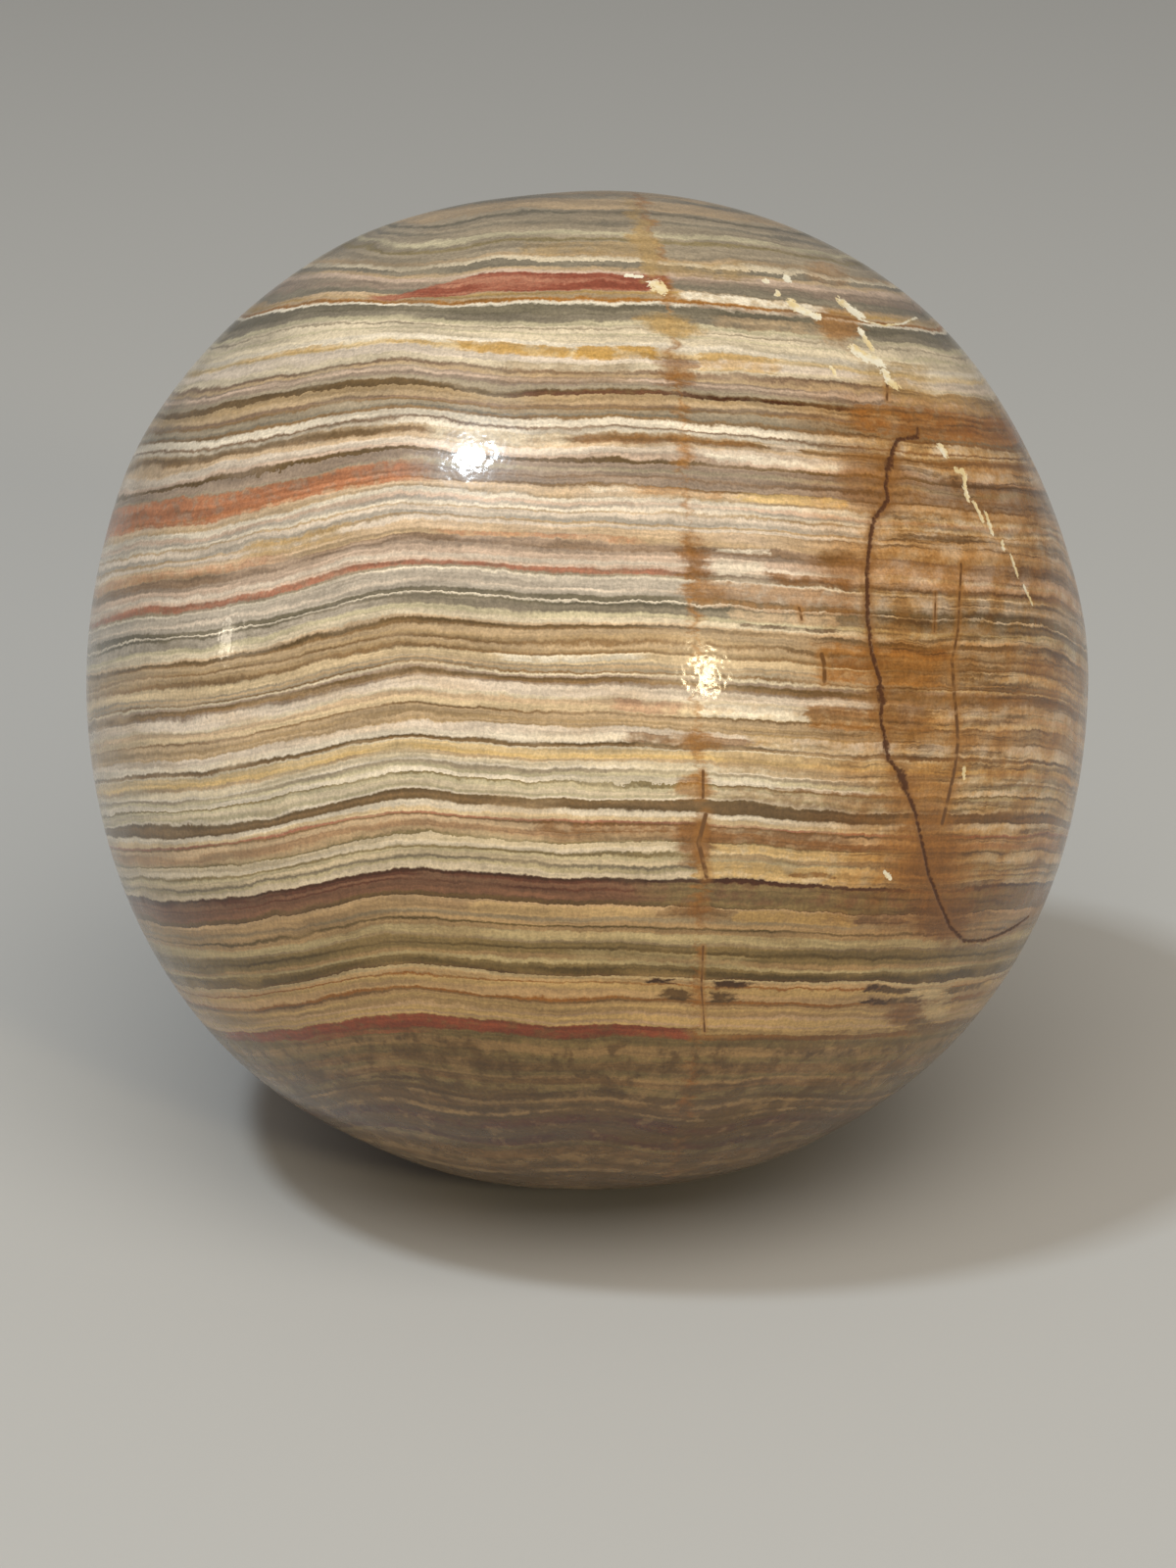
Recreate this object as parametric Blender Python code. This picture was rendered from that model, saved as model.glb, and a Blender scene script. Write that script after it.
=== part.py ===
"""A banded onyx ball, ground and polished by hand from one bedded block of stone.

The ball is a little squarish: its flats follow the bedding and its corners stand
slightly farther out. It rests on a small ground foot. Metres, +Z up; the origin is
the middle of the foot and the beds lean away from the viewer, towards +Y.
"""
import math

import bmesh
import bpy
from mathutils import Matrix, Vector

# Form of the ball
AXIS_RADIUS = 0.0381
SQUARENESS = 0.0383
BED_LEAN = math.radians(14.4)
BLOCK_TURN = math.radians(2.7)
FOOT_RADIUS = 0.006

# Places where the hand grinding left the ball full (+) or lean (-). They lie along
# the outline seen from the front and OUTLINE_LEAN above: degrees round it from the
# right, the amount in metres and the half width in degrees
OUTLINE_LEAN = math.radians(19.0)
OUTLINE_NEARER = math.radians(6.0)
SWELLS = (
    (5.0, 0.00024, 9.0),
    (29.0, -0.00028, 14.0),
    (96.0, -0.00016, 7.0),
    (117.0, 0.00020, 8.0),
    (152.0, 0.00022, 8.0),
    (243.0, -0.00020, 8.0),
    (288.0, 0.00016, 9.0),
)

# Mesh and finish
BALL_SUBDIVISIONS = 5
STONE_COLOUR = (0.42, 0.33, 0.25, 1.0)
STONE_ROUGHNESS = 0.12
STONE_COAT = 0.5


def clear_scene():
    """Remove whatever the file opened with."""
    for thing in list(bpy.data.objects):
        bpy.data.objects.remove(thing, do_unlink=True)


def make_collection(name):
    """Return a new collection linked to the scene."""
    collection = bpy.data.collections.new(name)
    bpy.context.scene.collection.children.link(collection)
    return collection


def stone_material():
    """Polished stone in the mean colour of its beds."""
    material = bpy.data.materials.new("polished_onyx")
    material.use_nodes = True
    shader = material.node_tree.nodes["Principled BSDF"]
    shader.inputs["Base Color"].default_value = STONE_COLOUR
    shader.inputs["Roughness"].default_value = STONE_ROUGHNESS
    shader.inputs["Metallic"].default_value = 0.0
    shader.inputs["Coat Weight"].default_value = STONE_COAT
    return material


def block_axes():
    """Rotation from the ball's own squarish block to the world."""
    lean = Matrix.Rotation(-BED_LEAN, 3, "X")
    turn = Matrix.Rotation(-BLOCK_TURN, 3, "Y")
    return lean @ turn


def outline_direction(around):
    """Unit vector from the ball's centre to a place on the outline."""
    upward = Vector((0.0, math.sin(OUTLINE_LEAN), math.cos(OUTLINE_LEAN)))
    nearer = Vector((0.0, -math.cos(OUTLINE_LEAN), math.sin(OUTLINE_LEAN)))
    sideways = Vector((1.0, 0.0, 0.0))
    around = math.radians(around)
    in_plane = math.cos(around) * sideways + math.sin(around) * upward
    return math.cos(OUTLINE_NEARER) * in_plane + math.sin(OUTLINE_NEARER) * nearer


def ball_radius(direction, axes):
    """Distance from the ball's centre to its surface in a direction."""
    along = axes.transposed() @ direction
    corner = 1.0 - (along.x ** 4 + along.y ** 4 + along.z ** 4)
    radius = AXIS_RADIUS * (1.0 + SQUARENESS * corner)
    for around, amount, half_width in SWELLS:
        away = direction.angle(outline_direction(around))
        radius += amount * math.exp(-(away / math.radians(half_width)) ** 2)
    return radius


def make_ball(collection):
    """The whole stone: one ball with its foot ground flat."""
    mesh = bpy.data.meshes.new("onyx_sphere")
    shape = bmesh.new()
    bmesh.ops.create_icosphere(shape, subdivisions=BALL_SUBDIVISIONS, radius=1.0)
    axes = block_axes()
    for corner in shape.verts:
        direction = corner.co.normalized()
        corner.co = direction * ball_radius(direction, axes)

    lowest = min(corner.co.z for corner in shape.verts)
    foot_depth = AXIS_RADIUS - math.sqrt(AXIS_RADIUS ** 2 - FOOT_RADIUS ** 2)
    foot_height = lowest + foot_depth
    everything = shape.verts[:] + shape.edges[:] + shape.faces[:]
    cut = bmesh.ops.bisect_plane(
        shape,
        geom=everything,
        dist=1e-6,
        plane_co=(0.0, 0.0, foot_height),
        plane_no=(0.0, 0.0, 1.0),
        clear_inner=True,
    )
    rim = [part for part in cut["geom_cut"] if isinstance(part, bmesh.types.BMEdge)]
    bmesh.ops.contextual_create(shape, geom=rim)
    foot = min(shape.faces, key=lambda face: face.calc_center_median().z)
    foot_middle = foot.calc_center_median_weighted()
    bmesh.ops.recalc_face_normals(shape, faces=shape.faces)
    bmesh.ops.translate(shape, verts=shape.verts, vec=-foot_middle)
    for face in shape.faces:
        face.smooth = True
    for edge in foot.edges:
        edge.smooth = False
    shape.to_mesh(mesh)
    shape.free()

    ball = bpy.data.objects.new("onyx_sphere", mesh)
    collection.objects.link(ball)
    mesh.materials.append(stone_material())
    return ball


def main():
    """Build the stone in its own collection."""
    clear_scene()
    make_ball(make_collection("banded_onyx_sphere"))


main()
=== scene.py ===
"""A polished ball of banded onyx on a plain pale floor, in soft studio light.

The stone is one piece. Its pattern is worked out in the bed frame, in millimetres:
across runs to the right and height runs up the column of beds. The beds lean back,
are folded gently across and are stained with rust along upright joints.
"""

import math

import bmesh
import bpy
import numpy as np
from mathutils import Euler, Matrix, Vector


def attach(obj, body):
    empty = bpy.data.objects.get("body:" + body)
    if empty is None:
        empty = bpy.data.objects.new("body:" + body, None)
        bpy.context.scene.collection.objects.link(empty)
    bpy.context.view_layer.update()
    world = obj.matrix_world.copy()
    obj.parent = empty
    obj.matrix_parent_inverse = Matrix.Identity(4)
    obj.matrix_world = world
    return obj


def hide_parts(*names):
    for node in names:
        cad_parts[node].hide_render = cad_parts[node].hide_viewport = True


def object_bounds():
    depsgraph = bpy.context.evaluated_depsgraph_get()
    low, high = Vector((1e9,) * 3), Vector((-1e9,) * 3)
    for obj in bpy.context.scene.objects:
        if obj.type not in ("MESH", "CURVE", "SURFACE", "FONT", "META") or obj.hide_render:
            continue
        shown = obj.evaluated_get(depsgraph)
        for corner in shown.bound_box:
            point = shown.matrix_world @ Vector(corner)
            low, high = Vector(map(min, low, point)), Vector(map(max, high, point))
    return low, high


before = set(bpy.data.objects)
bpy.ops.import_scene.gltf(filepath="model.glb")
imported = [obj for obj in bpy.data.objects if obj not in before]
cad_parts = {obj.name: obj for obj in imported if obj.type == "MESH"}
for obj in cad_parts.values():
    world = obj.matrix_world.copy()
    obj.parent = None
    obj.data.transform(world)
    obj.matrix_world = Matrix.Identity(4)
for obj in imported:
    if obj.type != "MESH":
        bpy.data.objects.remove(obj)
cad_low, cad_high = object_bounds()

# The ball's form, in millimetres, as in the part's source
MM = 0.001
AXIS_RADIUS = 38.1
SQUARENESS = 0.0383
BED_LEAN = math.radians(14.4)
BLOCK_TURN = math.radians(2.7)
FOOT_RADIUS = 6.0
OUTLINE_LEAN = math.radians(19.0)
OUTLINE_NEARER = math.radians(6.0)
SWELLS = (
    (5.0, 0.24, 9.0),
    (29.0, -0.28, 14.0),
    (96.0, -0.16, 7.0),
    (117.0, 0.20, 8.0),
    (152.0, 0.22, 8.0),
    (243.0, -0.20, 8.0),
    (288.0, 0.16, 9.0),
)

# The beds: where their frame starts from the ball's centre, and how they are bent
BED_ZERO = (0.2, 0.0, 0.1)
JOINT_SLANT = 0.1
FOLD_REACH = 40.0
FOLD_DEPTH = 8.0
FOLD = (
    (-40.0, 7.0), (-36.8, 5.3), (-33.7, 4.1), (-27.6, 3.0), (-21.5, 1.5), (-18.4, 0.6),
    (-15.3, -0.2), (-12.3, -0.6), (-9.2, -0.45), (-3.0, -0.1), (3.0, -0.05), (9.2, 0.3),
    (18.4, 1.2), (24.5, 1.8), (30.7, 2.4), (33.7, 3.0), (36.8, 4.8), (40.0, 6.6),
)

# Stone colours, as 0 to 255 display values
COLOURS = {
    "chalk": (236, 222, 198),
    "white": (226, 210, 186),
    "cream": (214, 196, 166),
    "ivory": (216, 190, 150),
    "butter": (210, 182, 136),
    "honey": (216, 182, 124),
    "peach": (208, 178, 142),
    "rose": (206, 178, 154),
    "rose_white": (217, 198, 176),
    "tan": (186, 158, 122),
    "sand": (170, 142, 104),
    "ochre": (180, 146, 92),
    "gold": (186, 140, 62),
    "rust": (160, 108, 48),
    "wood": (132, 86, 36),
    "brown": (138, 108, 72),
    "umber": (110, 86, 54),
    "bark": (106, 70, 34),
    "dark": (84, 58, 32),
    "ink": (74, 40, 18),
    "mauve": (158, 136, 116),
    "mauve_brown": (138, 112, 88),
    "maroon": (100, 60, 42),
    "plum": (134, 96, 74),
    "coral": (172, 114, 88),
    "brick": (158, 80, 56),
    "orange": (184, 116, 76),
    "salmon": (178, 142, 106),
    "grey": (182, 168, 150),
    "greige": (164, 147, 122),
    "slate": (136, 124, 104),
    "steel": (114, 104, 84),
    "sage": (198, 184, 150),
    "olive": (142, 124, 86),
    "moss": (106, 88, 50),
}

# The column of beds from the top down: height of each bed's top and its colour.
# Each slab of the column is one colour ramp
COLUMN = (
    ((42.0, "sand"), (38.3, "greige"), (37.6, "tan"), (37.1, "slate"), (36.8, "tan"),
     (36.0, "greige"), (35.8, "steel"), (35.6, "greige"), (35.1, "slate"), (34.8, "greige"),
     (34.3, "sage"), (34.0, "greige"), (33.8, "olive"), (33.55, "greige"), (32.7, "tan"),
     (32.45, "cream")),
    ((32.2, "slate"), (31.85, "tan"), (31.6, "rose"), (31.2, "mauve"), (30.6, "slate"),
     (30.1, "tan"), (29.9, "ochre"), (29.65, "tan"), (29.45, "rust"), (29.2, "chalk"),
     (29.0, "steel"), (28.3, "slate"), (27.85, "sage"), (27.55, "cream"), (27.45, "greige")),
    ((27.32, "cream"), (27.0, "sage"), (26.9, "cream"), (26.3, "white"), (25.95, "cream"),
     (25.8, "butter"), (25.45, "rose_white"), (24.9, "cream"), (24.5, "mauve_brown"),
     (24.28, "tan"), (24.0, "mauve"), (23.85, "rose"), (23.6, "mauve"), (23.3, "greige"),
     (23.0, "umber")),
    ((22.62, "sand"), (22.3, "tan"), (22.0, "mauve_brown"), (21.75, "brown"), (21.6, "greige"),
     (21.25, "slate"), (21.1, "brown"), (20.85, "white"), (20.35, "mauve_brown"),
     (20.2, "white"), (19.95, "tan"), (19.8, "brown"), (19.45, "peach"), (19.1, "rose_white"),
     (18.6, "rose"), (18.35, "umber")),
    ((18.08, "mauve"), (17.7, "greige"), (17.4, "mauve"), (17.1, "mauve_brown"),
     (16.9, "mauve"), (16.5, "brown"), (16.35, "peach"), (15.85, "tan"), (15.65, "white"),
     (15.35, "rose"), (15.1, "grey"), (14.9, "white"), (14.7, "tan"), (14.6, "rose_white"),
     (14.3, "grey")),
    ((14.05, "tan"), (13.85, "rose_white"), (13.55, "peach"), (13.0, "tan"),
     (12.6, "mauve_brown"), (12.1, "mauve"), (11.8, "rose"), (11.4, "rose_white"),
     (11.1, "rose"), (10.8, "mauve_brown"), (10.5, "greige"), (10.25, "white"), (10.1, "grey"),
     (9.5, "rose_white"), (9.3, "grey"), (8.95, "steel")),
    ((8.6, "white"), (8.48, "steel"), (8.25, "slate"), (7.75, "sage"), (7.4, "cream"),
     (7.0, "peach"), (6.85, "umber"), (6.6, "brown"), (6.45, "tan"), (6.05, "sand"),
     (5.8, "brown"), (5.6, "tan"), (5.4, "sand"), (5.2, "brown"), (4.95, "ivory"),
     (4.25, "greige")),
    ((4.1, "tan"), (3.9, "greige"), (3.75, "brown"), (3.62, "cream"), (3.45, "mauve"),
     (3.25, "umber"), (3.05, "brown"), (2.8, "mauve"), (2.65, "rose_white"), (2.0, "cream"),
     (1.8, "peach"), (1.4, "ivory"), (0.95, "brown"), (0.8, "tan"), (0.4, "sand")),
    ((0.1, "tan"), (-0.05, "sand"), (-0.2, "rose_white"), (-0.65, "white"), (-1.1, "umber"),
     (-1.3, "brown"), (-1.42, "cream"), (-1.55, "butter"), (-1.9, "honey"), (-2.25, "tan"),
     (-2.5, "cream"), (-2.9, "white"), (-3.05, "greige"), (-3.35, "sage"), (-3.6, "white")),
    ((-3.95, "olive"), (-4.1, "sage"), (-4.35, "cream"), (-4.7, "sage"), (-4.95, "white"),
     (-5.1, "umber"), (-5.35, "brown"), (-5.65, "umber"), (-5.92, "white"), (-6.3, "ivory"),
     (-6.62, "coral"), (-6.78, "brown"), (-6.95, "peach"), (-7.35, "salmon"), (-7.8, "tan"),
     (-8.05, "olive")),
    ((-8.18, "cream"), (-8.6, "white"), (-8.95, "olive"), (-9.2, "sage"), (-9.45, "cream"),
     (-9.8, "slate"), (-10.0, "sage"), (-10.2, "white"), (-10.6, "ink"), (-10.9, "maroon"),
     (-11.15, "plum"), (-11.45, "maroon"), (-11.6, "plum"), (-12.0, "plum"),
     (-12.3, "umber")),
    ((-12.65, "peach"), (-12.9, "tan"), (-13.5, "greige"), (-13.8, "tan"), (-14.15, "moss"),
     (-14.32, "tan"), (-14.7, "sage"), (-15.3, "greige"), (-15.5, "olive"), (-15.9, "moss"),
     (-16.1, "olive"), (-16.5, "tan"), (-16.8, "sage"), (-17.05, "olive"), (-17.3, "moss"),
     (-17.7, "umber")),
    ((-17.9, "cream"), (-18.15, "peach"), (-18.5, "rust"), (-18.6, "butter"), (-19.0, "peach"),
     (-19.5, "rust"), (-19.7, "brown"), (-19.9, "tan"), (-20.15, "butter"), (-20.4, "tan"),
     (-20.7, "rose"), (-20.85, "butter"), (-21.3, "rose"), (-21.45, "butter"),
     (-21.65, "brown")),
    ((-22.55, "olive"), (-23.2, "sand"), (-23.9, "olive"), (-24.6, "brown"), (-25.3, "olive"),
     (-25.75, "sand"), (-26.0, "brown"), (-26.5, "olive"), (-27.3, "umber"), (-27.8, "sand"),
     (-28.05, "brown"), (-28.4, "umber"), (-28.9, "sand"), (-29.15, "umber")),
    ((-29.5, "maroon"), (-30.3, "umber"), (-31.2, "maroon"), (-31.8, "olive"),
     (-32.3, "brown"), (-33.2, "sand"), (-33.9, "brown"), (-34.6, "tan"), (-35.0, "umber"),
     (-36.0, "brown"), (-37.0, "tan"), (-37.4, "umber"), (-42.0, "umber")),
)
BED_EDGE = 0.07

# The tone that the beds fade towards where they are less distinct
UNDERTONE = (
    (-40.0, "umber"), (-31.0, "umber"), (-27.0, "olive"), (-23.0, "olive"), (-19.0, "butter"),
    (-16.5, "olive"), (-14.0, "tan"), (-11.8, "plum"), (-9.0, "sage"), (-6.0, "tan"),
    (-3.5, "sage"), (0.0, "peach"), (5.0, "tan"), (9.0, "grey"), (12.0, "rose"),
    (15.0, "rose_white"), (18.0, "mauve"), (22.0, "greige"), (26.5, "cream"), (29.0, "slate"),
    (33.0, "greige"), (40.0, "tan"),
)

# Patches within the beds, as seen on the front: colour, left and right end across,
# top and bottom height, width of the ends' fade and strength
PATCHES = (
    ("ochre", -5.0, 4.0, 33.5, 32.5, 1.6, 0.5),
    ("ochre", 4.0, 12.0, 32.6, 31.3, 2.5, 0.5),
    ("rust", 15.5, 19.5, 33.4, 31.8, 2.0, 0.4),
    ("peach", -20.5, -15.3, 30.1, 29.65, 1.0, 0.7),
    ("slate", 5.8, 16.5, 31.0, 30.1, 0.8, 0.6),
    ("tan", 9.0, 17.5, 28.7, 27.8, 1.5, 0.7),
    ("chalk", 6.6, 17.2, 30.05, 29.5, 0.5, 0.85),
    ("wood", 6.8, 17.4, 29.4, 28.95, 0.8, 0.6),
    ("gold", -26.0, -17.0, 26.0, 25.5, 3.0, 0.5),
    ("gold", -14.5, -10.5, 25.8, 25.45, 1.0, 0.4),
    ("gold", -9.5, -1.4, 26.0, 25.35, 0.8, 0.75),
    ("gold", -1.0, 4.8, 26.05, 25.25, 0.5, 0.85),
    ("gold", 7.6, 13.6, 25.9, 24.6, 0.6, 0.55),
    ("ochre", 19.0, 25.0, 26.8, 24.4, 2.5, 0.6),
    ("ochre", 21.0, 36.0, 24.6, 23.4, 1.5, 0.7),
    ("rust", 18.6, 36.0, 23.4, 21.2, 1.2, 0.8),
    ("brown", -7.0, 4.0, 24.9, 23.4, 3.0, 0.45),
    ("brown", -7.0, 6.0, 22.4, 21.2, 3.0, 0.45),
    ("umber", -40.0, -13.0, 20.3, 19.5, 3.0, 0.45),
    ("maroon", -6.0, 8.5, 22.9, 22.6, 3.0, 0.7),
    ("ink", 7.5, 18.6, 22.86, 22.62, 1.5, 1.0),
    ("wood", -1.2, 12.0, 19.9, 19.3, 0.8, 0.6),
    ("cream", -11.5, -1.6, 19.95, 19.2, 1.2, 0.8),
    ("rose_white", 12.6, 15.0, 20.0, 19.4, 0.5, 0.8),
    ("chalk", 8.0, 17.8, 18.85, 18.5, 0.4, 0.7),
    ("orange", -40.0, -12.0, 17.6, 16.1, 3.5, 0.85),
    ("honey", 10.4, 18.0, 16.5, 15.8, 0.3, 0.85),
    ("chalk", 0.0, 3.2, 16.35, 15.95, 0.5, 0.5),
    ("rust", 3.4, 9.8, 16.5, 15.8, 0.8, 0.5),
    ("ochre", -24.5, -16.5, 14.2, 13.2, 2.5, 0.6),
    ("orange", -40.0, -20.0, 13.3, 12.6, 5.0, 0.4),
    ("orange", -11.0, 4.0, 13.0, 12.6, 3.0, 0.5),
    ("coral", -40.0, 6.0, 10.86, 10.45, 4.0, 0.9),
    ("white", 8.6, 12.6, 12.55, 12.3, 0.3, 0.9),
    ("white", 8.4, 12.4, 11.8, 10.6, 1.0, 0.8),
    ("umber", 15.8, 18.8, 12.9, 11.9, 1.2, 0.75),
    ("wood", 12.2, 18.4, 11.2, 10.3, 1.0, 0.75),
    ("grey", -40.0, -14.0, 8.25, 7.7, 5.0, 0.8),
    ("rust", 8.0, 19.5, 10.2, 8.4, 3.0, 0.55),
    ("peach", 9.8, 17.2, 8.4, 7.6, 0.6, 0.7),
    ("dark", 10.2, 17.0, 7.45, 7.15, 0.4, 0.8),
    ("tan", 9.0, 16.5, 7.0, 5.8, 1.5, 0.5),
    ("chalk", -6.5, 4.0, 4.95, 4.4, 1.5, 0.8),
    ("rust", 15.8, 25.6, 6.5, 5.7, 1.5, 0.8),
    ("wood", 16.3, 24.6, 5.6, 4.9, 1.5, 0.8),
    ("rust", 15.8, 25.2, 4.8, 3.9, 1.5, 0.8),
    ("white", 26.5, 34.0, 5.0, 4.2, 1.5, 0.5),
    ("coral", 1.5, 6.6, 1.95, 1.0, 1.0, 0.45),
    ("chalk", 7.8, 15.3, 1.8, 1.0, 0.3, 0.8),
    ("rust", 15.2, 20.4, 2.2, 0.6, 0.8, 0.7),
    ("mauve_brown", 20.6, 24.2, 2.6, 0.8, 1.0, 0.75),
    ("wood", 2.4, 12.4, -0.55, -1.15, 1.0, 0.75),
    ("ochre", 11.0, 18.5, -0.1, -1.1, 1.2, 0.65),
    ("tan", 3.0, 20.0, -1.1, -1.45, 3.0, 0.6),
    ("wood", 13.0, 21.0, -3.75, -4.1, 0.5, 0.8),
    ("chalk", 7.9, 13.0, -3.3, -3.85, 0.4, 0.55),
    ("sand", 9.0, 19.0, -1.5, -3.0, 1.5, 0.7),
    ("brown", 9.0, 23.0, -3.9, -5.1, 2.0, 0.7),
    ("umber", -40.0, 40.0, -5.2, -5.75, 1.0, 0.6),
    ("brown", -3.0, 6.5, -7.3, -8.1, 2.5, 0.6),
    ("wood", 7.5, 21.0, -7.4, -8.1, 1.5, 0.8),
    ("wood", -4.0, 18.0, -6.75, -7.45, 2.0, 0.75),
    ("white", 9.8, 13.4, -6.0, -6.35, 0.4, 0.7),
    ("white", 18.0, 20.6, -6.1, -6.6, 0.5, 0.7),
    ("honey", 8.4, 20.8, -8.15, -8.95, 0.3, 0.9),
    ("tan", 8.4, 21.0, -8.95, -9.35, 0.5, 0.8),
    ("honey", 7.4, 22.4, -9.4, -10.62, 0.4, 0.85),
    ("wood", 14.2, 17.2, -9.85, -10.2, 0.5, 0.8),
    ("olive", 4.0, 34.0, -10.9, -12.6, 5.0, 0.85),
    ("butter", -8.5, 4.6, -12.8, -13.5, 1.0, 0.7),
    ("brown", 4.8, 10.0, -12.7, -13.3, 0.6, 0.7),
    ("honey", 10.2, 18.8, -12.75, -13.6, 0.4, 0.85),
    ("maroon", 18.8, 22.6, -12.6, -13.4, 0.6, 0.55),
    ("sage", -2.0, 12.0, -16.1, -17.05, 3.0, 0.5),
    ("cream", 23.0, 26.6, -18.3, -19.7, 0.5, 0.9),
    ("cream", 24.2, 26.4, -19.6, -21.2, 0.8, 0.8),
    ("dark", 4.6, 6.0, -18.1, -18.5, 0.4, 1.5),
    ("umber", 5.5, 6.9, -18.9, -19.6, 0.5, 1.5),
    ("umber", 8.6, 10.0, -18.8, -19.6, 0.5, 1.5),
    ("dark", 9.2, 11.1, -18.1, -18.5, 0.4, 1.5),
    ("dark", 19.9, 21.3, -18.3, -18.75, 0.4, 1.5),
    ("umber", 21.2, 23.4, -18.35, -18.75, 0.4, 1.5),
    ("dark", 19.9, 21.4, -19.2, -19.65, 0.4, 1.5),
    ("umber", 21.6, 23.8, -19.15, -19.6, 0.4, 1.5),
    ("umber", 26.0, 29.0, -18.6, -19.2, 0.8, 0.9),
    ("brick", -27.0, 7.2, -21.65, -22.5, 1.5, 0.9),
    ("brick", -21.0, -11.0, -22.2, -23.1, 5.0, 0.7),
    ("butter", 7.2, 24.0, -21.6, -22.1, 0.4, 0.7),
    ("rust", 7.2, 24.0, -22.1, -22.6, 0.8, 0.5),
    ("ink", -17.0, -9.0, -26.8, -27.1, 1.5, 0.7),
)
PATCH_EDGE = 0.14

# Stains that soak across the beds, as seen on the front: colour, middle across and
# in height, half width, half height and strength
STAINS = (
    ("ochre", 3.9, 34.0, 0.9, 3.0, 0.8),
    ("ochre", 5.7, 27.7, 2.0, 0.9, 0.9),
    ("wood", 6.1, 24.6, 1.5, 1.5, 0.75),
    ("wood", 7.3, 11.6, 1.2, 1.7, 0.8),
    ("rust", 7.6, 9.4, 1.6, 0.8, 0.7),
    ("rust", 7.4, -0.9, 1.8, 0.7, 0.6),
    ("rust", 7.3, -4.2, 1.3, 1.0, 0.7),
    ("wood", 7.3, -8.0, 1.5, 2.0, 0.85),
    ("wood", 7.6, -13.0, 1.6, 0.9, 0.5),
    ("rust", 18.0, 28.6, 1.9, 1.5, 0.7),
    ("wood", 20.0, 18.2, 2.6, 2.6, 0.65),
    ("wood", 17.6, 12.0, 2.4, 1.4, 0.6),
    ("rust", 22.8, 5.0, 3.4, 1.7, 0.6),
    ("wood", 22.6, 1.7, 1.6, 1.3, 0.55),
    ("rust", 23.6, -3.6, 3.0, 1.7, 0.75),
    ("rust", 24.2, -8.6, 4.0, 3.2, 0.95),
    ("wood", 24.6, -8.2, 2.2, 3.4, 0.6),
    ("wood", 25.4, -13.0, 3.4, 2.0, 0.8),
    ("wood", 22.8, -20.6, 1.9, 1.1, 0.8),
    ("umber", 24.2, -21.6, 1.4, 0.7, 0.6),
    ("umber", 17.0, -26.6, 1.6, 0.5, 0.9),
    ("umber", -10.0, -24.5, 5.0, 1.2, 0.5),
)

# The brick red lens: where it starts, is full and ends across, and its top and
# bottom height where it starts and where it is full
LENS_ACROSS = (-17.5, -9.0, 4.6)
LENS_TOP = (29.8, 31.4)
LENS_BOTTOM = (29.35, 29.95)

# Rust: the stretch of stone right of the crack that it has soaked
RUST_ACROSS = (9.0, 19.0)
RUST_HEIGHT = (-17.0, -10.0, 22.0, 26.0)
RUST_AMOUNT = 1.0

# Lines drawn along the front: half width and points as (across, height)
CRACKS = (
    (0.13, ((23.6, 21.9), (23.5, 21.3), (22.8, 21.2), (22.0, 21.0), (21.7, 20.5))),
    (0.14, ((21.7, 20.5), (21.3, 19.3), (21.0, 17.8), (21.1, 16.7), (20.1, 15.4),
            (19.8, 14.2), (19.5, 11.5), (19.5, 8.5), (19.8, 6.0), (20.4, 4.2), (20.5, 3.0),
            (20.5, 1.4), (20.8, 0.1), (21.0, -1.3), (22.0, -2.4), (22.6, -4.0),
            (23.1, -5.1))),
    (0.12, ((23.1, -5.1), (23.5, -6.8), (24.2, -9.6), (25.0, -11.5), (26.0, -13.6),
            (27.2, -14.8), (28.9, -14.9), (31.0, -14.3), (32.7, -13.4))),
    (0.27, ((21.35, 19.5), (21.2, 18.9))),
    (0.30, ((21.9, -2.3), (22.3, -3.1))),
    (0.26, ((20.4, 3.5), (20.6, 2.7))),
    (0.20, ((20.8, -0.2), (20.95, -0.8))),
)
VEINS = (
    (0.17, ((25.7, 5.8), (25.9, 3.3), (26.2, 0.1), (25.9, -2.2), (25.4, -4.5), (25.1, -5.8))),
    (0.12, ((26.5, 12.6), (26.3, 10.0), (26.2, 8.0), (25.7, 5.8))),
    (0.08, ((24.5, 10.5), (24.4, 7.8))),
    (0.16, ((16.2, 5.7), (16.4, 5.0), (16.4, 3.9))),
    (0.10, ((7.9, -2.9), (7.9, -4.8))),
    (0.16, ((8.1, -6.0), (7.6, -8.0), (8.2, -10.4))),
    (0.08, ((8.0, -15.5), (7.9, -18.5), (8.2, -22.0))),
    (0.12, ((21.4, 25.0), (21.3, 23.8))),
    (0.10, ((14.6, 8.8), (14.8, 8.0))),
)
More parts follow.
